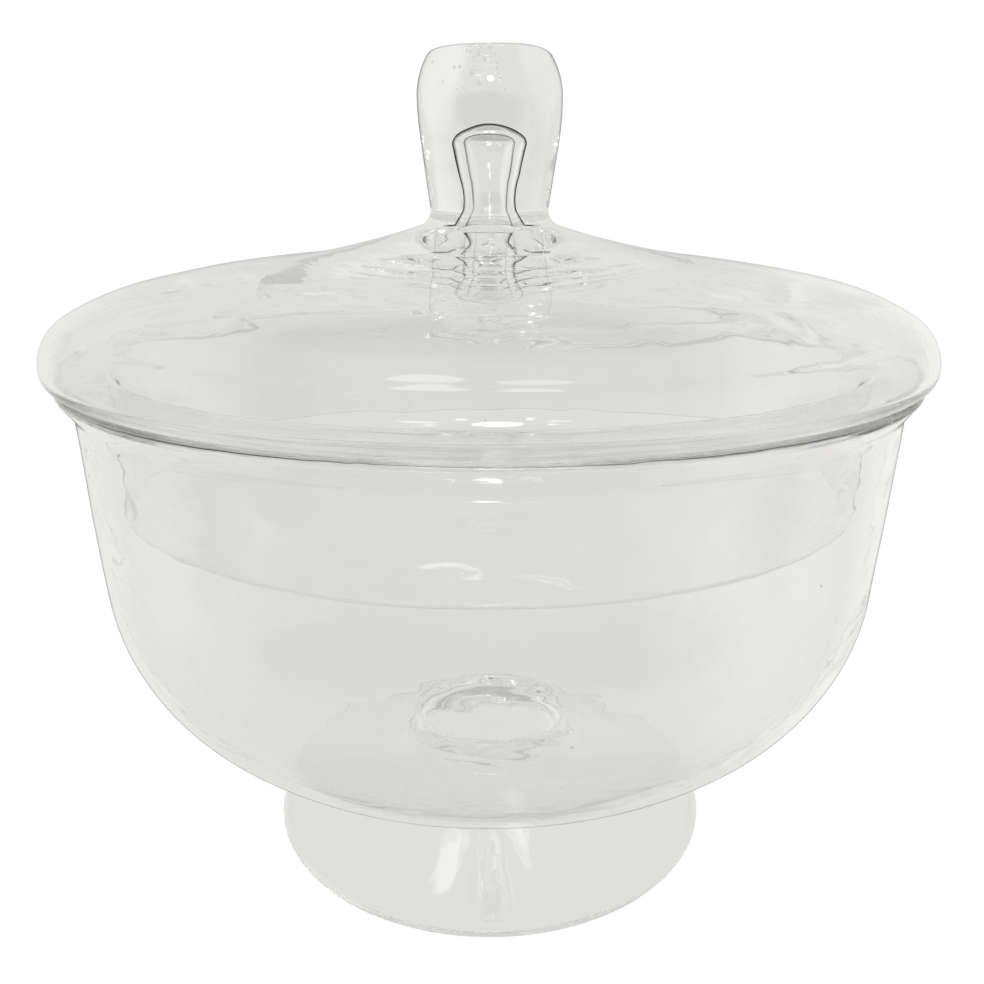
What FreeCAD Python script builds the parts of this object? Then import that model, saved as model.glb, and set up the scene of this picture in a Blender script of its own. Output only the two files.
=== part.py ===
import FreeCAD, Part
import math
import os

# Glass desiccator: a footed, round-bottomed bowl and a loose domed lid whose sleeve hangs inside the
# bowl's mouth. Millimetres, +Z up, the Z axis is the axis of symmetry, z = 0 is the surface it stands on.
#
# Every outline is drawn in the half plane (r, z) by a pen that starts at a point with a heading and
# makes moves that run smoothly into each other: (length,) draws a line, (radius, turn) draws an arc,
# with a positive turn to the left. Headings and turns are in degrees, and heading 0 points outwards.

# Glass.
WALL = 3.0

# Foot: a hollow trumpet whose rounded edge is ground flat where it stands.
FOOT_RADIUS = 68.3
FOOT_SLOPE = 13.0
FOOT_SWEEP = (193.0, -11.0)
FOOT_THROAT = (8.0, -41.0)
FOOT_HOLLOW_THROAT_TURN = -38.0
FOOT_HOLLOW_SHOULDER = (7.0, 54.0)

# Stem: a short solid plug between the foot and the underside of the bowl.
STEM_BOTTOM_Z = 24.0
STEM_LENGTH = 11.1
STEM_FILLET = (2.0, -69.0)
STEM_OVERRUN = 4.0

# Bowl: a flat-arched bottom, round haunches, a wall that leans out by a few degrees and a flared lip.
BOWL_BOTTOM_Z = 29.5
BOWL_BOTTOM = (218.0, 19.8)
BOWL_HAUNCH_RADIUS = 55.8
WALL_LEAN = 3.23
WALL_LENGTH = 47.3
LIP_BEND_RADIUS = 5.0
LIP_ANGLE = 55.0
LIP_LENGTH = 4.8

# Lid: a rolled rim on the lip, a shallow crown with a concave sweep up to the knob, and a sleeve.
SEAT_GAP = 0.2
SLEEVE_RADIUS = 104.1
SLEEVE_BOTTOM_Z = 113.7
SLEEVE_FILLET_RADIUS = 2.5
FLANGE_WIDTH = 9.5
RIM_ROLL = (3.8, 90.0)
RIM_SHOULDER = (12.1, 58.6)
CROWN_OUTER = (57.1, 17.8)
CROWN_INNER = (262.6, 7.8)
CROWN_SWEEP = (212.4, -11.9)
CROWN_THROAT_RADIUS = 4.5

# Knob: heavy glass, wider at the top, with an air space that opens into the lid.
KNOB_LEAN = 8.3
KNOB_TAPER_LENGTH = 18.15
KNOB_BELLY_RADIUS = 73.0
KNOB_SIDE = (19.5, 31.6)
KNOB_SHOULDER_RADIUS = 2.7
KNOB_TOP_SLOPE = 2.0
HOLLOW_MOUTH_RADIUS = 11.5
HOLLOW_MOUTH_ARC_RADIUS = 4.5
HOLLOW_LEAN = 12.0
HOLLOW_MOUTH_LENGTH = 8.0
HOLLOW_WAIST_RADIUS = 25.0
HOLLOW_SPLAY = 9.6
HOLLOW_NECK_LENGTH = 10.0
HOLLOW_SHOULDER = (3.4, 57.6)

REACH = 400.0


class Pen:
    """Draws an outline of lines and tangent arcs in the half plane (r, z) and keeps its edges."""

    def __init__(self, r, z, heading):
        self.r = r
        self.z = z
        self.heading = heading
        self.edges = []

    def side_point(self, distance):
        """The point that lies distance to the left of the pen."""
        angle = math.radians(self.heading)
        return self.r - distance * math.sin(angle), self.z + distance * math.cos(angle)

    def go_to(self, r, z):
        """Draws a straight edge to a given point and keeps the heading."""
        start = FreeCAD.Vector(self.r, 0, self.z)
        end = FreeCAD.Vector(r, 0, z)
        self.edges.append(Part.LineSegment(start, end).toShape())
        self.r = r
        self.z = z

    def line(self, length):
        angle = math.radians(self.heading)
        self.go_to(self.r + length * math.cos(angle), self.z + length * math.sin(angle))

    def arc(self, radius, turn):
        side = math.copysign(radius, turn)
        centre_r, centre_z = self.side_point(side)
        points = [FreeCAD.Vector(self.r, 0, self.z)]
        for share in (0.5, 1.0):
            angle = math.radians(self.heading + share * turn)
            r = centre_r + side * math.sin(angle)
            points.append(FreeCAD.Vector(r, 0, centre_z - side * math.cos(angle)))
        self.edges.append(Part.Arc(*points).toShape())
        self.r = points[-1].x
        self.z = points[-1].z
        self.heading += turn

    def arc_to_axis(self):
        """Draws the arc, centred on the Z axis, that reaches the axis at right angles."""
        turn = 180.0 - self.heading
        self.arc(self.r / math.sin(math.radians(turn)), turn)

    def follow(self, moves):
        for move in moves:
            if len(move) == 1:
                self.line(*move)
            else:
                self.arc(*move)


def parallel(moves, distance):
    """The moves of the outline that lies distance to the left of the given one."""
    shifted = []
    for move in moves:
        if len(move) == 1:
            shifted.append(move)
        else:
            radius, turn = move
            shifted.append((radius - math.copysign(distance, turn), turn))
    return shifted


def revolve(edges):
    """The closed solid of revolution whose half section has these edges."""
    wire = Part.Wire(Part.__sortEdges__(edges))
    face = Part.Face(wire)
    axis_point = FreeCAD.Vector(0, 0, 0)
    axis = FreeCAD.Vector(0, 0, 1)
    return Part.Solid(face.revolve(axis_point, axis, 360))


def between(shape, z_low, z_high):
    """The part of a solid between two heights."""
    corner = FreeCAD.Vector(-REACH / 2, -REACH / 2, z_low)
    slab = Part.makeBox(REACH, REACH, z_high - z_low, corner)
    return shape.common(slab).Solids[0]


def wall_moves():
    """The outside of the bowl, from the middle of its bottom to the edge of its lip."""
    haunch_turn = 90.0 - WALL_LEAN - BOWL_BOTTOM[1]
    lip_turn = LIP_ANGLE - (90.0 - WALL_LEAN)
    return [
        BOWL_BOTTOM,
        (BOWL_HAUNCH_RADIUS, haunch_turn),
        (WALL_LENGTH,),
        (LIP_BEND_RADIUS, lip_turn),
        (LIP_LENGTH,),
    ]


def bowl():
    outside = Pen(0.0, BOWL_BOTTOM_Z, 0.0)
    outside.follow(wall_moves())
    outside.arc(WALL / 2, 180.0)
    inside = Pen(0.0, BOWL_BOTTOM_Z + WALL, 0.0)
    inside.follow(parallel(wall_moves(), WALL))
    inside_edges = inside.edges
    middle = Pen(0.0, BOWL_BOTTOM_Z, 90.0)
    middle.line(WALL)
    return revolve(outside.edges + inside_edges + middle.edges)


def lip_top_z():
    """The height of the highest point of the bowl's rounded lip."""
    outside = Pen(0.0, BOWL_BOTTOM_Z, 0.0)
    outside.follow(wall_moves())
    return outside.side_point(WALL / 2)[1] + WALL / 2


def bowl_underside(blank):
    """A blank with everything above the underside of the bowl's bottom cut away."""
    radius = BOWL_BOTTOM[0]
    centre = FreeCAD.Vector(0, 0, BOWL_BOTTOM_Z + radius)
    return blank.cut(Part.makeSphere(radius, centre))


def foot_and_stem():
    """The trumpet foot with its hollow underside and the stem, up to the bowl's underside."""
    edge = WALL / 2
    ground_r = FOOT_RADIUS - edge + edge * math.sin(math.radians(FOOT_SLOPE))
    outside = Pen(ground_r, 0.0, FOOT_SLOPE)
    outside.arc(edge, 180.0 - 2 * FOOT_SLOPE)
    hollow_start = outside.side_point(WALL)
    hollow_heading = outside.heading
    outside.follow([FOOT_SWEEP, FOOT_THROAT, (STEM_LENGTH,), STEM_FILLET, (STEM_OVERRUN,)])
    outside.go_to(0.0, outside.z)

    hollow = Pen(*hollow_start, hollow_heading)
    throat = (FOOT_THROAT[0], FOOT_HOLLOW_THROAT_TURN)
    hollow.follow(parallel([FOOT_SWEEP, throat], WALL))
    hollow.arc(*FOOT_HOLLOW_SHOULDER)
    hollow.arc_to_axis()
    hollow.go_to(0.0, outside.z)

    land = Pen(ground_r, 0.0, 180.0)
    land.go_to(*hollow_start)
    return bowl_underside(revolve(outside.edges + hollow.edges + land.edges))


def foot():
    return between(foot_and_stem(), 0.0, STEM_BOTTOM_Z)


def stem():
    return between(foot_and_stem(), STEM_BOTTOM_Z, BOWL_BOTTOM_Z + REACH)


def flange_z():
    """The height of the flat underside of the lid's rolled rim."""
    return lip_top_z() + SEAT_GAP


def sleeve_top_z():
    return flange_z() - SLEEVE_FILLET_RADIUS


def rim_and_crown_moves():
    """The outside of the lid, from the top of the sleeve over the rolled rim to the start of the sweep."""
    return [
        (SLEEVE_FILLET_RADIUS, -90.0),
        (FLANGE_WIDTH,),
        RIM_ROLL,
        RIM_SHOULDER,
        CROWN_OUTER,
        CROWN_INNER,
    ]


def lid_outside():
    """A pen that has drawn the outside of the lid as far as the foot of the knob."""
    pen = Pen(SLEEVE_RADIUS, sleeve_top_z(), 90.0)
    pen.follow(rim_and_crown_moves())
    pen.arc(*CROWN_SWEEP)
    pen.arc(CROWN_THROAT_RADIUS, 90.0 - KNOB_LEAN - pen.heading)
    return pen


def crown_and_knob():
    """Crown, rolled rim and knob in one outline, with the air space that runs up into the knob."""
    outside = lid_outside()
    outside.follow([(KNOB_TAPER_LENGTH,), (KNOB_BELLY_RADIUS, KNOB_LEAN), KNOB_SIDE])
    outside.arc(KNOB_SHOULDER_RADIUS, 180.0 - KNOB_TOP_SLOPE - outside.heading)
    outside.arc_to_axis()

    inside = Pen(SLEEVE_RADIUS - WALL, sleeve_top_z(), 90.0)
    inside.follow(parallel(rim_and_crown_moves(), WALL))
    arch_radius = inside.r / math.sin(math.radians(180.0 - inside.heading))
    mouth_slope = math.degrees(math.asin(HOLLOW_MOUTH_RADIUS / arch_radius))
    inside.arc(arch_radius, 180.0 - mouth_slope - inside.heading)
    inside.arc(HOLLOW_MOUTH_ARC_RADIUS, 90.0 + HOLLOW_LEAN - inside.heading)
    inside.line(HOLLOW_MOUTH_LENGTH)
    inside.arc(HOLLOW_WAIST_RADIUS, -HOLLOW_LEAN - HOLLOW_SPLAY)
    inside.line(HOLLOW_NECK_LENGTH)
    inside.arc(*HOLLOW_SHOULDER)
    inside.arc_to_axis()
    inside.go_to(0.0, outside.z)

    seam = Pen(SLEEVE_RADIUS, sleeve_top_z(), 180.0)
    seam.line(WALL)
    return revolve(outside.edges + inside.edges + seam.edges)


def lid_crown():
    return between(crown_and_knob(), sleeve_top_z(), lid_outside().z)


def knob():
    return between(crown_and_knob(), lid_outside().z, REACH)


def lid_sleeve():
    """The cylindrical sleeve below the rolled rim, with a rounded lower edge."""
    half = WALL / 2
    outside = Pen(SLEEVE_RADIUS, sleeve_top_z(), 180.0)
    outside.line(WALL)
    outside.go_to(SLEEVE_RADIUS - WALL, SLEEVE_BOTTOM_Z + half)
    outside.heading = 270.0
    outside.arc(half, 180.0)
    outside.go_to(SLEEVE_RADIUS, sleeve_top_z())
    return revolve(outside.edges)


NODES = {
    "bowl": bowl,
    "stem": stem,
    "foot": foot,
    "lid_crown": lid_crown,
    "lid_sleeve": lid_sleeve,
    "knob": knob,
}

os.makedirs("parts", exist_ok=True)
for name, make in NODES.items():
    shape = make()
    print(name, shape.isValid(), round(shape.Volume))
    shape.exportStep("parts/" + name + ".step")
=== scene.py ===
import math

import bpy
import numpy as np
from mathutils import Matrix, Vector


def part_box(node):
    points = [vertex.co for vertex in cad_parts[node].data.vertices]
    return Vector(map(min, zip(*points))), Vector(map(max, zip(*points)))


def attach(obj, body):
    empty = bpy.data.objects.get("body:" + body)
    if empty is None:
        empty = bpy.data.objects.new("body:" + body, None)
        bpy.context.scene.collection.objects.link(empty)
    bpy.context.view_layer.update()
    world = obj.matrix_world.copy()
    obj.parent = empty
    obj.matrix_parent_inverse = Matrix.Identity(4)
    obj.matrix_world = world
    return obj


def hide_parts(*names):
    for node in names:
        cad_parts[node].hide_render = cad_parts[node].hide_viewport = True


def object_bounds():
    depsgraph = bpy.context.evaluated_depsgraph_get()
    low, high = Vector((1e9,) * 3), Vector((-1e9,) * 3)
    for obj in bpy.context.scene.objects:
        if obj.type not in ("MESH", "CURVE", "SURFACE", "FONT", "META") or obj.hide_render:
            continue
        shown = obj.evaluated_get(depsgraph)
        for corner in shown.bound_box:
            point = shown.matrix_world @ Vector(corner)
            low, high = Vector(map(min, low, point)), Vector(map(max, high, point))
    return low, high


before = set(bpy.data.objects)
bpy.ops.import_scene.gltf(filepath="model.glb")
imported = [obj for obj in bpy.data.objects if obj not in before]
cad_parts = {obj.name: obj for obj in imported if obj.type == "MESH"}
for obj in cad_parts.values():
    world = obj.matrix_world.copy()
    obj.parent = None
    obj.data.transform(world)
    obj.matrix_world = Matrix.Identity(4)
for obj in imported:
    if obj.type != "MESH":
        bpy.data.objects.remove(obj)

# A footed glass bowl and its loose lid, turned about the Z axis, in metres. The CAD nodes are replaced
# by finely divided meshes of the same outlines, because glass shows every facet. Fused pieces stay
# separate closed meshes: the faces where they meet are clear, so that light passes as through one glass.

CAD_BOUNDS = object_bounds()

# Places that the frame gives.
FOOT_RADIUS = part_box("foot")[1].x
STEM_BOTTOM_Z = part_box("stem")[0].z
BOWL_BOTTOM_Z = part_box("bowl")[0].z
SLEEVE_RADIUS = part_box("lid_sleeve")[1].x
SLEEVE_TOP_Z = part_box("lid_sleeve")[1].z
SLEEVE_BOTTOM_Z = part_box("lid_sleeve")[0].z

WALL = 0.0030

# Foot, from its ground edge up.
FOOT_SLOPE = 13.0
FOOT_SWEEP = (0.193, -11.0)
FOOT_THROAT = (0.008, -41.0)
FOOT_HOLLOW_THROAT_TURN = -38.0
FOOT_HOLLOW_SHOULDER = (0.007, 54.0)
STEM_FILLET_RADIUS = 0.0020

# Bowl, from the middle of its bottom to its lip.
BOWL_BOTTOM = (0.218, 19.8)
BOWL_HAUNCH_RADIUS = 0.0558
WALL_LEAN = 3.23
WALL_LENGTH = 0.0473
LIP_BEND_RADIUS = 0.0050
LIP_ANGLE = 55.0
LIP_LENGTH = 0.0048

# Lid, from the sleeve over the rolled rim and the crown to the knob.
SLEEVE_FILLET_RADIUS = 0.0025
FLANGE_WIDTH = 0.0095
RIM_ROLL = (0.0038, 90.0)
RIM_SHOULDER = (0.0121, 58.6)
CROWN_OUTER = (0.0571, 17.8)
CROWN_INNER = (0.2626, 7.8)
CROWN_SWEEP = (0.2124, -11.9)
CROWN_THROAT_RADIUS = 0.0045
KNOB_LEAN = 8.3
KNOB_TAPER_LENGTH = 0.01815
KNOB_BELLY_RADIUS = 0.073
KNOB_SIDE = (0.0195, 31.6)
KNOB_SHOULDER_RADIUS = 0.0027
KNOB_TOP_SLOPE = 2.0
HOLLOW_MOUTH_RADIUS = 0.0115
HOLLOW_MOUTH_ARC_RADIUS = 0.0045
HOLLOW_LEAN = 12.0
HOLLOW_MOUTH_LENGTH = 0.0080
HOLLOW_WAIST_RADIUS = 0.025
HOLLOW_SPLAY = 9.6
HOLLOW_NECK_LENGTH = 0.0100
HOLLOW_SHOULDER = (0.0034, 57.6)

# Glass: refraction, and a tint that varies between two near-white greys in soft clouds.
GLASS_IOR = 1.48
GLASS_TINT_LOW = (0.955, 0.955, 0.955, 1.0)
GLASS_TINT_HIGH = (0.985, 0.985, 0.982, 1.0)
CLOUD_SCALE = 14.0
CLOUD_DETAIL = 2.0

# Striae: shallow streaks in the surface, with how strongly they show on each surface.
STRIAE_STRETCH = (1.0, 1.0, 2.5)
STRIAE_SCALE = 60.0
STRIAE_DETAIL = 0.8
STRIAE_DISTORTION = 0.6
STRIAE_DEPTH = 0.0004
WALL_STRIAE = 0.35
CROWN_STRIAE = 0.25
HOLLOW_STRIAE = 0.6

# Painted shade: a near-black layer mixed into the glass towards grazing angles paints the thin dark
# outlines along the glass's edges. Where it starts, on a scale from facing (0) to grazing (1), and the
# share that it grows to at grazing. A share above 1 is full before that.
PAINTED_SHADE_COLOUR = (0.01, 0.01, 0.01, 1.0)
WALL_PAINTED_SHADE = (0.90, 0.70)
CROWN_PAINTED_SHADE = (0.92, 0.30)
KNOB_PAINTED_SHADE = (0.70, 0.75)
HOLLOW_PAINTED_SHADE = (0.52, 1.8)

# Waves of hand-worked glass: how many around, length along the outline, height and phase. Each winds
# a little, and all are still near the axis, near the foot's edge and where the lid meets the bowl.
WAVES = [
    (2, 0.090, 0.00010, 0.4),
    (3, -0.055, 0.00006, 2.1),
    (5, 0.034, 0.00003, 4.0),
    (7, -0.023, 0.000018, 1.3),
    (11, 0.015, 0.000010, 5.2),
]
WAVE_WINDING = 0.8
WAVE_FADE = 0.008
WAVE_STILL_SHARE = 0.3

# Seed bubbles: a cloud under the knob's top, and a few in the bowl's wall, near its bottom.
BUBBLE_RINGS = 9
BUBBLE_SIDES = 12
KNOB_BUBBLES = 34
KNOB_BUBBLE_RADII = (0.00012, 0.00032)
KNOB_CLOUD_X_MEAN_AND_SPREAD = (-0.001, 0.0035)
KNOB_CLOUD_Y = (-0.006, 0.004)
KNOB_CLOUD_Z = (0.2185, 0.2262)
BOWL_BUBBLES = 9
BOWL_BUBBLE_RADII = (0.00025, 0.0005)

# Floor: a wide disc just under the foot.
FLOOR_REACH = 4.0
FLOOR_SIDES = 96
FLOOR_GAP = 0.0002

# Studio: even light below and above a soft horizon, darker and lighter screens, and lamps. Angles are
# in degrees, and azimuth is measured from +Y towards +X.
STUDIO_COLOUR = (1.0, 0.995, 0.975, 1.0)
LIGHT_BELOW = 0.77
LIGHT_ABOVE = 0.76
HORIZON_HEIGHT = 0.10
HORIZON_BLUR = 0.12
LAMP_BLUR = 0.25

# Screens: azimuth, elevation, width, height, level and blur.
SCREENS = [
    # Straight down: painted shadow, a darker patch that stands for the floor shaded under the glass.
    (0, -90, 62, 62, 0.60, 0.25),
    (36, -14, 46, 56, 0.90, 0.5),
    (-38, -14, 40, 50, 0.84, 0.5),
    (0, 7, 34, 9, 0.70, 0.5),
    (0, 44, 40, 26, 0.48, 0.4),
    (-97, 0, 30, 50, 0.45, 0.4),
    (97, 0, 30, 50, 0.45, 0.4),
    (180, 8, 30, 26, 0.5, 0.4),
]

# Lamps: azimuth, elevation, width, height and level.
LAMPS = [
    (178, 22, 11, 9, 9.0),
    (-163, 25, 9, 2.5, 5.0),
    (163, 26, 6, 2, 5.0),
    (-173, 30, 3, 3, 5.0),
    (-166, 20, 4, 2, 5.0),
    (170, 31, 2, 4, 5.0),
    (165, 20, 3, 2, 5.0),
    (-124, 62, 5, 4, 1.6),
    (118, 64, 4, 4, 1.4),
    (-30, 74, 10, 10, 3.0),
    (33, 78, 10, 10, 3.0),
]

# Light that is guided inside a wall is reflected many times before it leaves.
LIGHT_BOUNCES = 200

# Camera.
CAMERA_PLACE = (0.00064, -0.280, 0.1943)
CAMERA_PITCH = 17.6
CAMERA_SENSOR_WIDTH = 36.0
CAMERA_LENS = 35.2
CAMERA_NEAREST = 0.01

# How finely outlines and turns are divided.
LONGEST_STEP = 0.0025
LARGEST_TURN = 4.0
AROUND = 320
SAME_POINT_SHARE = 0.02
SAME_POINT_DIGITS = 8


class Pen:
    """Draws an outline of lines and tangent arcs in the half plane (r, z) as a list of points."""

    def __init__(self, r, z, heading):
        self.points = [(r, z)]
        self.heading = heading

    def side_point(self, distance):
        """The point that lies distance to the left of the pen."""
        angle = math.radians(self.heading)
        r, z = self.points[-1]
        return r - distance * math.sin(angle), z + distance * math.cos(angle)

    def go_to(self, r, z):
        start_r, start_z = self.points[-1]
        steps = max(1, math.ceil(math.hypot(r - start_r, z - start_z) / LONGEST_STEP))
        for step in range(1, steps + 1):
            share = step / steps
            self.points.append((start_r + share * (r - start_r), start_z + share * (z - start_z)))

    def line(self, length):
        angle = math.radians(self.heading)
        r, z = self.points[-1]
        self.go_to(r + length * math.cos(angle), z + length * math.sin(angle))

    def arc(self, radius, turn):
        side = math.copysign(radius, turn)
        centre_r, centre_z = self.side_point(side)
        by_turn = abs(turn) / LARGEST_TURN
        by_length = radius * math.radians(abs(turn)) / LONGEST_STEP
        steps = max(2, math.ceil(max(by_turn, by_length)))
        for step in range(1, steps + 1):
            angle = math.radians(self.heading + turn * step / steps)
            self.points.append((centre_r + side * math.sin(angle), centre_z - side * math.cos(angle)))
        self.heading += turn

    def arc_to_axis(self):
        """Draws the arc, centred on the Z axis, that reaches the axis at right angles."""
        turn = 180.0 - self.heading
        self.arc(self.points[-1][0] / math.sin(math.radians(turn)), turn)
        self.points[-1] = (0.0, self.points[-1][1])

    def follow(self, moves):
        for move in moves:
            if len(move) == 1:
                self.line(*move)
            else:
                self.arc(*move)


def parallel(moves, distance):
    """The moves of the outline that lies distance to the left of the given one."""
    shifted = []
    for move in moves:
        if len(move) == 1:
            shifted.append(move)
        else:
            radius, turn = move
            shifted.append((radius - math.copysign(distance, turn), turn))
    return shifted


def wall_moves():
    """The outside of the bowl, from the middle of its bottom to the edge of its lip."""
    return [
        BOWL_BOTTOM,
        (BOWL_HAUNCH_RADIUS, 90.0 - WALL_LEAN - BOWL_BOTTOM[1]),
        (WALL_LENGTH,),
        (LIP_BEND_RADIUS, LIP_ANGLE - (90.0 - WALL_LEAN)),
        (LIP_LENGTH,),
    ]


def stem_line_and_fillet(pen):
    """Draws the stem's side up to its fillet, and the fillet up to the bowl's spherical underside."""
    radius, fillet = BOWL_BOTTOM[0], STEM_FILLET_RADIUS
    angle = math.radians(pen.heading)
    centre_r, centre_z = pen.side_point(-fillet)
    offset_z = centre_z - (BOWL_BOTTOM_Z + radius)
    along = centre_r * math.cos(angle) + offset_z * math.sin(angle)
    beyond = centre_r**2 + offset_z**2 - (radius + fillet) ** 2
    pen.line(-along - math.sqrt(along**2 - beyond))
    centre_r, centre_z = pen.side_point(-fillet)
    slope = math.degrees(math.asin(centre_r / (radius + fillet)))
    pen.arc(fillet, slope - pen.heading)
    return slope


def vessel_strips():
    """The vessel's whole surface as three outlines that follow each other: foot, stem and bowl."""
    edge = WALL / 2
    outside = Pen(FOOT_RADIUS - edge + edge * math.sin(math.radians(FOOT_SLOPE)), 0.0, FOOT_SLOPE)
    outside.arc(edge, 180.0 - 2 * FOOT_SLOPE)
    hollow = Pen(*outside.side_point(WALL), outside.heading)
    hollow.follow(parallel([FOOT_SWEEP, (FOOT_THROAT[0], FOOT_HOLLOW_THROAT_TURN)], WALL))
    hollow.arc(*FOOT_HOLLOW_SHOULDER)
    hollow.arc_to_axis()
    outside.follow([FOOT_SWEEP, FOOT_THROAT])
    slope = stem_line_and_fillet(outside)
    seam = split_at_height(outside.points, STEM_BOTTOM_Z)
    foot = hollow.points[::-1] + outside.points[: seam + 1]
    stem = outside.points[seam:]
    wall = Pen(*outside.points[-1], slope)
    moves = wall_moves()
    wall.follow([(BOWL_BOTTOM[0], BOWL_BOTTOM[1] - slope)] + moves[1:])
    wall.arc(WALL / 2, 180.0)
    inside = Pen(0.0, BOWL_BOTTOM_Z + WALL, 0.0)
    inside.follow(parallel(moves, WALL))
    bowl = wall.points + inside.points[-2::-1]
    return {"foot": foot, "stem": stem, "bowl": bowl}


def split_at_height(points, z, start=0):
    """Puts a point at height z into the outline, after the given one, and returns its index."""
    for index in range(start, len(points) - 1):
        (r0, z0), (r1, z1) = points[index], points[index + 1]
        if (z0 - z) * (z1 - z) <= 0 and z0 != z1:
            share = (z - z0) / (z1 - z0)
            near = min(max(share, 0.0), 1.0)
            if near < SAME_POINT_SHARE:
                return index
            if near > 1.0 - SAME_POINT_SHARE:
                return index + 1
            points.insert(index + 1, (r0 + near * (r1 - r0), z))
            return index + 1
    raise ValueError("the outline doesn't reach that height")


def rim_and_crown_moves():
    """The outside of the lid, from the top of the sleeve over the rolled rim to the start of the sweep."""
    return [
        (SLEEVE_FILLET_RADIUS, -90.0),
        (FLANGE_WIDTH,),
        RIM_ROLL,
        RIM_SHOULDER,
        CROWN_OUTER,
        CROWN_INNER,
    ]


def lid_strips():
    """The lid's whole surface as outlines that follow each other, from the knob's air space to its top."""
    sleeve_length = SLEEVE_TOP_Z - SLEEVE_BOTTOM_Z - WALL / 2
    outside = Pen(SLEEVE_RADIUS, SLEEVE_TOP_Z - sleeve_length, 90.0)
    outside.line(sleeve_length)
    sleeve_end = len(outside.points) - 1
    outside.follow(rim_and_crown_moves())
    outside.arc(*CROWN_SWEEP)
    outside.arc(CROWN_THROAT_RADIUS, 90.0 - KNOB_LEAN - outside.heading)
    crown_end = len(outside.points) - 1
    outside.follow([(KNOB_TAPER_LENGTH,), (KNOB_BELLY_RADIUS, KNOB_LEAN), KNOB_SIDE])
    outside.arc(KNOB_SHOULDER_RADIUS, 180.0 - KNOB_TOP_SLOPE - outside.heading)
    outside.arc_to_axis()
    edge = Pen(SLEEVE_RADIUS - WALL, SLEEVE_TOP_Z - sleeve_length, 270.0)
    edge.arc(WALL / 2, 180.0)
    inside = Pen(SLEEVE_RADIUS - WALL, SLEEVE_TOP_Z - sleeve_length, 90.0)
    inside.line(sleeve_length)
    inside_sleeve_end = len(inside.points) - 1
    inside.follow(parallel(rim_and_crown_moves(), WALL))
    arch_radius = inside.points[-1][0] / math.sin(math.radians(180.0 - inside.heading))
    mouth_slope = math.degrees(math.asin(HOLLOW_MOUTH_RADIUS / arch_radius))
    inside.arc(arch_radius, 180.0 - mouth_slope - inside.heading)
    mouth_start = len(inside.points) - 1
    inside.arc(HOLLOW_MOUTH_ARC_RADIUS, 90.0 + HOLLOW_LEAN - inside.heading)
    mouth_end = len(inside.points) - 1
    inside.line(HOLLOW_MOUTH_LENGTH)
    inside.arc(HOLLOW_WAIST_RADIUS, -HOLLOW_LEAN - HOLLOW_SPLAY)
    inside.line(HOLLOW_NECK_LENGTH)
    inside.arc(*HOLLOW_SHOULDER)
    inside.arc_to_axis()
    seam = split_at_height(inside.points, outside.points[crown_end][1], mouth_end)
    down = inside.points[::-1]
    last = len(inside.points) - 1
    return {
        "knob_hollow": down[: last - seam + 1],
        "crown_mouth": down[last - seam : last - mouth_start + 1],
        "crown_inside": down[last - mouth_start : last - inside_sleeve_end + 1],
        "sleeve": down[last - inside_sleeve_end :] + edge.points[1:-1] + outside.points[: sleeve_end + 1],
        "crown_outside": outside.points[sleeve_end : crown_end + 1],
        "knob_outside": outside.points[crown_end:],
    }


def waves(r, z, along):
    """How far hand-worked glass swells from its true outline at each point, and its slopes up and around.

    The swell fades out at the axis, at the foot's edge and where lid and lip are close to each other.
    """
    turn = np.arange(AROUND) * (2 * math.pi / AROUND)
    still = np.minimum(abs(z - SLEEVE_TOP_Z) / WAVE_FADE, z / WAVE_FADE)
    calm = np.clip(np.minimum(still, r / WAVE_FADE) - WAVE_STILL_SHARE, 0.0, 1.0)
    swell = np.zeros((len(r), AROUND))
    for count, length, height, phase in WAVES:
        angle = count * turn[None, :] + (2 * math.pi / length) * along[:, None] + phase
        swell += height * np.sin(angle + WAVE_WINDING * np.sin(turn * 2 + phase)[None, :])
    swell *= calm[:, None]
    rise = np.gradient(swell, along, axis=0)
    spin = (np.roll(swell, -1, 1) - np.roll(swell, 1, 1)) / (2 * turn[1] * np.maximum(r, WALL)[:, None])
    return swell, rise, spin


def spun(along_r, along_z, cosine, sine):
    """Vectors given in the half plane, turned to every direction around the Z axis."""
    x = np.outer(along_r, cosine)
    y = np.outer(along_r, sine)
    z = np.outer(along_z, np.ones(AROUND))
    return np.stack([x, y, z], -1)


def smooth_tangents(r, steps, lengths):
    """The outline's direction at each point, weighted by its two neighbours' distances."""
    directions = steps / lengths[:, None]
    before = np.vstack([[1.0, 0.0] if r[0] == 0 else directions[0], directions])
    after = np.vstack([directions, [-1.0, 0.0] if r[-1] == 0 else directions[-1]])
    span_before = np.append(lengths[0], lengths)[:, None]
    span_after = np.append(lengths, lengths[-1])[:, None]
    tangent = (before * span_after + after * span_before) / (span_before + span_after)
    tangent[0] = (1.0, 0.0)
    tangent[-1] = (-1.0, 0.0)
    return tangent / np.hypot(tangent[:, 0], tangent[:, 1])[:, None]


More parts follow.
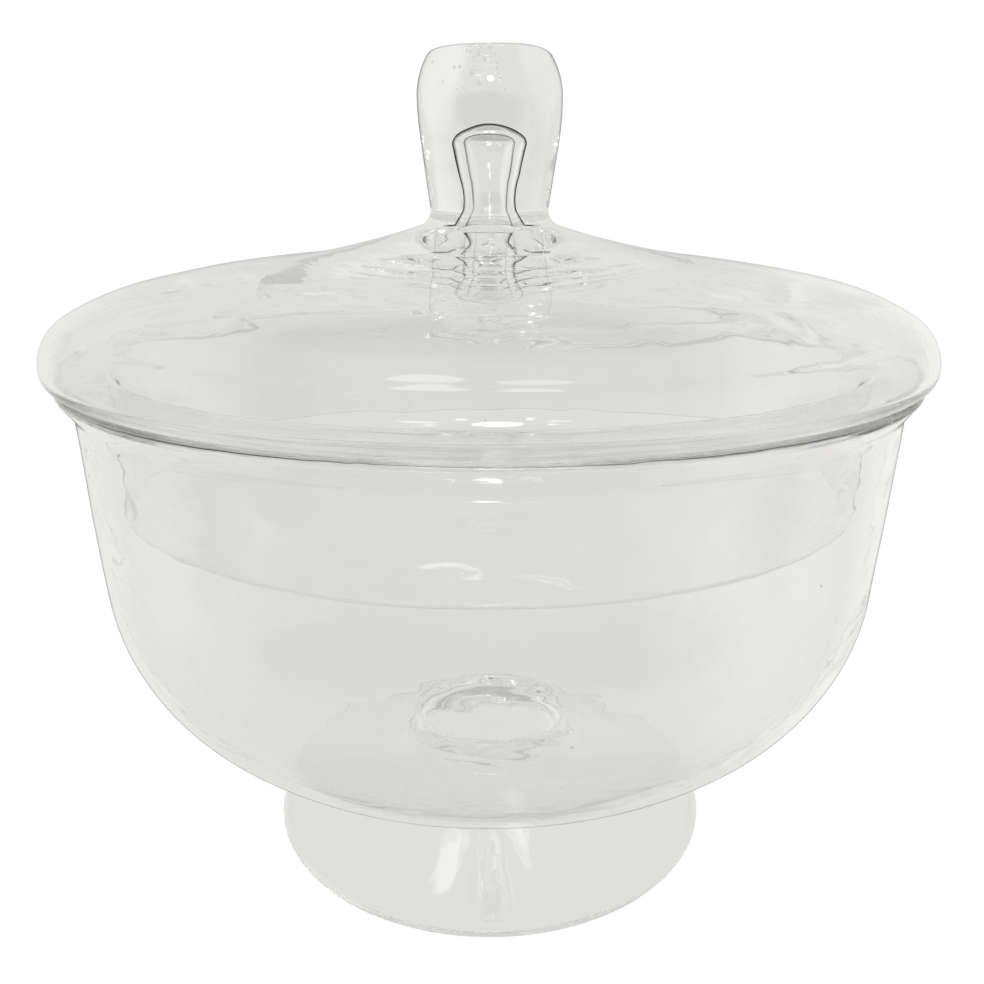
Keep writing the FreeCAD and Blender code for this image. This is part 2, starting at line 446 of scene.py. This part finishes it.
def turned_surface(strips):
    """Turns outlines that follow each other into one grid of points and normals, and splits it again."""
    names = list(strips)
    outline = list(strips[names[0]])
    spans = {names[0]: (0, len(outline))}
    for name in names[1:]:
        start = len(outline) - 1
        outline += strips[name][1:]
        spans[name] = (start, len(outline))
    r, z = np.array(outline).T
    steps = np.diff(np.stack([r, z], 1), axis=0)
    lengths = np.hypot(steps[:, 0], steps[:, 1])
    tangent = smooth_tangents(r, steps, lengths)
    turn = np.arange(AROUND) * (2 * math.pi / AROUND)
    cosine, sine = np.cos(turn), np.sin(turn)
    points = spun(r, z, cosine, sine)
    normals = spun(tangent[:, 1], -tangent[:, 0], cosine, sine)
    upward = spun(tangent[:, 0], tangent[:, 1], cosine, sine)
    around = np.broadcast_to(np.stack([-sine, cosine, np.zeros(AROUND)], -1), points.shape)
    swell, rise, spin = waves(r, z, np.append(0.0, np.cumsum(lengths)))
    points = points + swell[..., None] * normals
    normals = normals - rise[..., None] * upward - spin[..., None] * around
    normals /= np.linalg.norm(normals, axis=-1)[..., None]
    return {name: (points[a:b], normals[a:b]) for name, (a, b) in spans.items()}


def bubble(centre, radius):
    """A seed bubble: a small ball of air, as a grid of points whose normals point into it."""
    tilt = np.linspace(0.0, math.pi, BUBBLE_RINGS)
    turn = np.arange(BUBBLE_SIDES) * (2 * math.pi / BUBBLE_SIDES)
    x = np.outer(np.sin(tilt), np.cos(turn))
    y = np.outer(np.sin(tilt), np.sin(turn))
    z = np.outer(np.cos(tilt), np.ones(BUBBLE_SIDES))
    outward = np.stack([x, y, z], -1)
    return np.asarray(centre) + radius * outward, -outward


def knob_bubbles():
    """The cloud of seed bubbles under the top of the knob."""
    found = []
    for _ in range(KNOB_BUBBLES):
        x = rng.normal(*KNOB_CLOUD_X_MEAN_AND_SPREAD)
        y = rng.uniform(*KNOB_CLOUD_Y)
        z = rng.uniform(*KNOB_CLOUD_Z)
        found.append(bubble((x, y, z), rng.uniform(*KNOB_BUBBLE_RADII)))
    return found


def bowl_bubbles(grid):
    """A few seed bubbles in the middle of the bowl's wall, under the lower part of its outside."""
    points, normals = grid
    lower = len(points) * 2 // 5
    found = []
    for _ in range(BOWL_BUBBLES):
        row = rng.integers(lower // 8, lower * 7 // 8)
        spoke = rng.integers(AROUND)
        centre = points[row, spoke] - WALL / 2 * normals[row, spoke]
        found.append(bubble(centre, rng.uniform(*BOWL_BUBBLE_RADII)))
    return found


def seam_strip(start, end):
    """A flat ring of faces between two rings of points, or between a ring and the axis."""
    points = np.stack([start, end])
    normal = np.cross(points[0, 1] - points[0, 0], points[1, 0] - points[0, 0])
    normal /= np.linalg.norm(normal)
    return points, np.broadcast_to(normal, points.shape)


def faces_between(grid, vertex):
    """The faces between the rings of a grid, each as its vertices and the normals at its corners."""
    points, normals = grid
    index = [[vertex(point) for point in ring] for ring in points]
    for ring in range(len(points) - 1):
        sides = len(points[ring])
        for spoke in range(sides):
            after = (spoke + 1) % sides
            face, face_normals = [], []
            for a, b in ((ring, spoke), (ring, after), (ring + 1, after), (ring + 1, spoke)):
                if index[a][b] not in face:
                    face.append(index[a][b])
                    face_normals.append(tuple(normals[a][b]))
            if len(face) > 2:
                yield face, face_normals


def glass_piece(name, body, nodes, surfaces, seams, hollows=(), surface=None):
    """Builds one closed piece, with exact normals, from grids of its surface, its seams and its hollow."""
    vertices, faces, corner_normals, slots = [], [], [], []
    found = {}

    def vertex(point):
        key = tuple(np.round(point, SAME_POINT_DIGITS))
        if key not in found:
            found[key] = len(vertices)
            vertices.append(tuple(point))
        return found[key]

    for slot, grids in enumerate((surfaces, seams, hollows)):
        for grid in grids:
            for face, face_normals in faces_between(grid, vertex):
                faces.append(face)
                corner_normals += face_normals
                slots.append(slot)
    mesh = bpy.data.meshes.new(name)
    mesh.from_pydata(vertices, [], faces)
    for material in (surface or wall_glass, seam, hollow_glass):
        mesh.materials.append(material)
    mesh.polygons.foreach_set("material_index", slots)
    mesh.polygons.foreach_set("use_smooth", [True] * len(faces))
    mesh.update()
    mesh.normals_split_custom_set(corner_normals)
    piece = bpy.data.objects.new(name, mesh)
    bpy.context.scene.collection.objects.link(piece)
    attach(piece, body)
    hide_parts(*nodes)


def clear_glass(name, shade_start, shade_share, striae):
    """Clear glass with faint striae, and a thin dark outline of painted shade where light meets it at a
    grazing angle.
    """
    material = bpy.data.materials.new(name)
    material.use_nodes = True
    nodes, links = material.node_tree.nodes, material.node_tree.links
    output = nodes["Material Output"]
    shader = nodes["Principled BSDF"]
    shader.inputs["Roughness"].default_value = 0.0
    shader.inputs["IOR"].default_value = GLASS_IOR
    shader.inputs["Transmission Weight"].default_value = 1.0

    place = nodes.new("ShaderNodeTexCoord")
    stretch = nodes.new("ShaderNodeMapping")
    stretch.inputs["Scale"].default_value = STRIAE_STRETCH
    streaks = nodes.new("ShaderNodeTexNoise")
    streaks.inputs["Scale"].default_value = STRIAE_SCALE
    streaks.inputs["Detail"].default_value = STRIAE_DETAIL
    streaks.inputs["Distortion"].default_value = STRIAE_DISTORTION
    bump = nodes.new("ShaderNodeBump")
    bump.inputs["Strength"].default_value = striae
    bump.inputs["Distance"].default_value = STRIAE_DEPTH
    links.new(place.outputs["Object"], stretch.inputs["Vector"])
    links.new(stretch.outputs["Vector"], streaks.inputs["Vector"])
    links.new(streaks.outputs["Fac"], bump.inputs["Height"])
    links.new(bump.outputs["Normal"], shader.inputs["Normal"])

    clouds = nodes.new("ShaderNodeTexNoise")
    clouds.inputs["Scale"].default_value = CLOUD_SCALE
    clouds.inputs["Detail"].default_value = CLOUD_DETAIL
    tint = nodes.new("ShaderNodeMix")
    tint.data_type = "RGBA"
    tint.inputs["A"].default_value = GLASS_TINT_LOW
    tint.inputs["B"].default_value = GLASS_TINT_HIGH
    links.new(place.outputs["Object"], clouds.inputs["Vector"])
    links.new(clouds.outputs["Fac"], tint.inputs["Factor"])
    links.new(tint.outputs["Result"], shader.inputs["Base Color"])

    # Painted shade: a near-black diffuse layer, mixed in towards grazing angles, paints the dark outlines
    # of the edges.
    painted_shade = nodes.new("ShaderNodeBsdfDiffuse")
    painted_shade.inputs["Color"].default_value = PAINTED_SHADE_COLOUR
    angle = nodes.new("ShaderNodeLayerWeight")
    angle.inputs["Blend"].default_value = 0.5
    share = nodes.new("ShaderNodeMapRange")
    share.interpolation_type = "SMOOTHSTEP"
    share.inputs["From Min"].default_value = shade_start
    share.inputs["From Max"].default_value = 1.0
    share.inputs["To Min"].default_value = 0.0
    share.inputs["To Max"].default_value = shade_share
    mix = nodes.new("ShaderNodeMixShader")
    links.new(angle.outputs["Facing"], share.inputs["Value"])
    links.new(share.outputs["Result"], mix.inputs["Fac"])
    links.new(shader.outputs["BSDF"], mix.inputs[1])
    links.new(painted_shade.outputs["BSDF"], mix.inputs[2])
    links.new(mix.outputs["Shader"], output.inputs["Surface"])
    return material


def fused_seam():
    """The clear face where two pieces of glass are fused: light passes it unchanged."""
    material = bpy.data.materials.new("fused_seam")
    material.use_nodes = True
    nodes, links = material.node_tree.nodes, material.node_tree.links
    nodes.clear()
    output = nodes.new("ShaderNodeOutputMaterial")
    clear = nodes.new("ShaderNodeBsdfTransparent")
    links.new(clear.outputs[0], output.inputs["Surface"])
    return material


def closing_disc(ring):
    """The middle of a ring of points, once for each of them, so that a seam can close the ring."""
    return np.broadcast_to([0.0, 0.0, float(ring[0][2])], ring.shape)


def make_vessel():
    """Foot, stem and bowl, fused to each other."""
    strips = turned_surface(vessel_strips())
    foot, stem, bowl = strips["foot"], strips["stem"], strips["bowl"]
    foot_top, stem_bottom = foot[0][-1], stem[0][0]
    stem_top, bowl_start = stem[0][-1], bowl[0][0]
    bowl_seam = seam_strip(closing_disc(bowl_start), bowl_start)
    foot_seam = seam_strip(foot_top, closing_disc(foot_top))
    stem_seams = [
        seam_strip(closing_disc(stem_bottom), stem_bottom),
        seam_strip(stem_top, closing_disc(stem_top)),
    ]
    glass_piece("bowl_glass", "vessel", ["bowl"], [bowl, *bowl_bubbles(bowl)], [bowl_seam])
    glass_piece("stem_glass", "vessel", ["stem"], [stem], stem_seams)
    glass_piece("foot_glass", "vessel", ["foot"], [foot], [foot_seam])


def make_lid():
    """Knob, crown and sleeve, fused to each other."""
    strips = turned_surface(lid_strips())
    hollow, knob, sleeve = strips["knob_hollow"], strips["knob_outside"], strips["sleeve"]
    mouth, inner, outer = strips["crown_mouth"], strips["crown_inside"], strips["crown_outside"]
    knob_seam = seam_strip(hollow[0][-1], knob[0][0])
    sleeve_seam = seam_strip(sleeve[0][-1], sleeve[0][0])
    crown_seams = [seam_strip(inner[0][-1], outer[0][0]), seam_strip(outer[0][-1], mouth[0][0])]
    glass_piece("knob_glass", "lid", ["knob"], [knob, *knob_bubbles()], [knob_seam], [hollow], knob_glass)
    glass_piece("crown_glass", "lid", ["lid_crown"], [inner, outer], crown_seams, [mouth], crown_glass)
    glass_piece("sleeve_glass", "lid", ["lid_sleeve"], [sleeve], [sleeve_seam])


def make_floor():
    """A pale disc, white to the camera, that lets the even light of the studio through to the glass."""
    mesh = bpy.data.meshes.new("floor")
    turns = [2 * math.pi * step / FLOOR_SIDES for step in range(FLOOR_SIDES)]
    ring = [(FLOOR_REACH * math.cos(turn), FLOOR_REACH * math.sin(turn), 0.0) for turn in turns]
    mesh.from_pydata(ring, [], [list(range(FLOOR_SIDES))])
    floor = bpy.data.objects.new("floor", mesh)
    bpy.context.scene.collection.objects.link(floor)
    floor.location.z = CAD_BOUNDS[0].z - FLOOR_GAP
    material = bpy.data.materials.new("floor")
    material.use_nodes = True
    nodes, links = material.node_tree.nodes, material.node_tree.links
    nodes.clear()
    output = nodes.new("ShaderNodeOutputMaterial")
    white = nodes.new("ShaderNodeEmission")
    through = nodes.new("ShaderNodeBsdfTransparent")
    path = nodes.new("ShaderNodeLightPath")
    mix = nodes.new("ShaderNodeMixShader")
    links.new(path.outputs["Is Camera Ray"], mix.inputs["Fac"])
    links.new(through.outputs[0], mix.inputs[1])
    links.new(white.outputs[0], mix.inputs[2])
    links.new(mix.outputs[0], output.inputs["Surface"])
    mesh.materials.append(material)


class Studio:
    """The studio's even light, with its screens and lamps far away, as a shader of the world."""

    def __init__(self):
        world = bpy.data.worlds.new("studio")
        bpy.context.scene.world = world
        world.use_nodes = True
        self.nodes, self.links = world.node_tree.nodes, world.node_tree.links
        self.nodes.clear()
        place = self.nodes.new("ShaderNodeTexCoord")
        self.direction = place.outputs["Generated"]
        self.light = None

    def math(self, operation, *values):
        node = self.nodes.new("ShaderNodeMath")
        node.operation = operation
        for socket, value in zip(node.inputs, values):
            if hasattr(value, "links"):
                self.links.new(value, socket)
            else:
                socket.default_value = value
        return node.outputs[0]

    def along(self, vector):
        node = self.nodes.new("ShaderNodeVectorMath")
        node.operation = "DOT_PRODUCT"
        self.links.new(self.direction, node.inputs[0])
        node.inputs[1].default_value = vector
        return node.outputs["Value"]

    def edge(self, distance, half, blur):
        """1 within half of the middle, falling softly to 0."""
        node = self.nodes.new("ShaderNodeMapRange")
        node.interpolation_type = "SMOOTHSTEP"
        self.links.new(self.math("ABSOLUTE", distance), node.inputs["Value"])
        node.inputs["From Min"].default_value = half + blur
        node.inputs["From Max"].default_value = half
        return node.outputs["Result"]

    def even(self):
        """Even light that changes from below to above at a soft horizon."""
        rise = self.math("SUBTRACT", self.along((0, 0, 1)), 1.0 + HORIZON_HEIGHT)
        share = self.edge(rise, 1.0, HORIZON_BLUR)
        self.light = self.math("ADD", LIGHT_BELOW, self.math("MULTIPLY", share, LIGHT_ABOVE - LIGHT_BELOW))

    def panel(self, azimuth, elevation, width, height, level, blur):
        """A soft ellipse of the given place and size, in degrees."""
        a, e = math.radians(azimuth), math.radians(elevation)
        forward = (math.sin(a) * math.cos(e), math.cos(a) * math.cos(e), math.sin(e))
        right = (math.cos(a), -math.sin(a), 0.0)
        up = (-math.sin(a) * math.sin(e), -math.cos(a) * math.sin(e), math.cos(e))
        depth = self.math("MAXIMUM", self.along(forward), 0.001)
        across = self.math("DIVIDE", self.along(right), depth)
        across = self.math("DIVIDE", across, math.tan(math.radians(width / 2)))
        along = self.math("DIVIDE", self.along(up), depth)
        along = self.math("DIVIDE", along, math.tan(math.radians(height / 2)))
        out = self.math("ADD", self.math("MULTIPLY", across, across), self.math("MULTIPLY", along, along))
        inside = self.edge(out, 1.0 - blur, 2 * blur)
        change = self.math("MULTIPLY", inside, self.math("SUBTRACT", level, self.light))
        self.light = self.math("ADD", self.light, change)

    def finish(self):
        """Shows the light to every ray but the camera's own, which see plain white."""
        colour = self.nodes.new("ShaderNodeBackground")
        colour.inputs["Color"].default_value = STUDIO_COLOUR
        self.links.new(self.light, colour.inputs["Strength"])
        white = self.nodes.new("ShaderNodeBackground")
        white.inputs["Color"].default_value = (1, 1, 1, 1)
        path = self.nodes.new("ShaderNodeLightPath")
        mix = self.nodes.new("ShaderNodeMixShader")
        output = self.nodes.new("ShaderNodeOutputWorld")
        self.links.new(path.outputs["Is Camera Ray"], mix.inputs["Fac"])
        self.links.new(colour.outputs[0], mix.inputs[1])
        self.links.new(white.outputs[0], mix.inputs[2])
        self.links.new(mix.outputs[0], output.inputs["Surface"])


def make_world():
    studio = Studio()
    studio.even()
    for screen in SCREENS:
        studio.panel(*screen)
    for lamp in LAMPS:
        studio.panel(*lamp, LAMP_BLUR)
    studio.finish()


def make_camera():
    camera = bpy.data.cameras.new("camera")
    camera.sensor_width = CAMERA_SENSOR_WIDTH
    camera.lens = CAMERA_LENS
    camera.clip_start = CAMERA_NEAREST
    holder = bpy.data.objects.new("camera", camera)
    bpy.context.scene.collection.objects.link(holder)
    holder.location = CAMERA_PLACE
    holder.rotation_euler = (math.radians(90 - CAMERA_PITCH), 0, 0)
    bpy.context.scene.camera = holder


rng = np.random.default_rng(7)
wall_glass = clear_glass("clear_glass", *WALL_PAINTED_SHADE, WALL_STRIAE)
hollow_glass = clear_glass("hollow_glass", *HOLLOW_PAINTED_SHADE, HOLLOW_STRIAE)
knob_glass = clear_glass("knob_surface", *KNOB_PAINTED_SHADE, WALL_STRIAE)
crown_glass = clear_glass("crown_surface", *CROWN_PAINTED_SHADE, CROWN_STRIAE)
seam = fused_seam()

make_vessel()
make_lid()
make_floor()
make_world()
make_camera()
scene = bpy.context.scene
scene.view_settings.view_transform = "Standard"
for limit in ("max_bounces", "transmission_bounces", "glossy_bounces", "transparent_max_bounces"):
    setattr(scene.cycles, limit, LIGHT_BOUNCES)
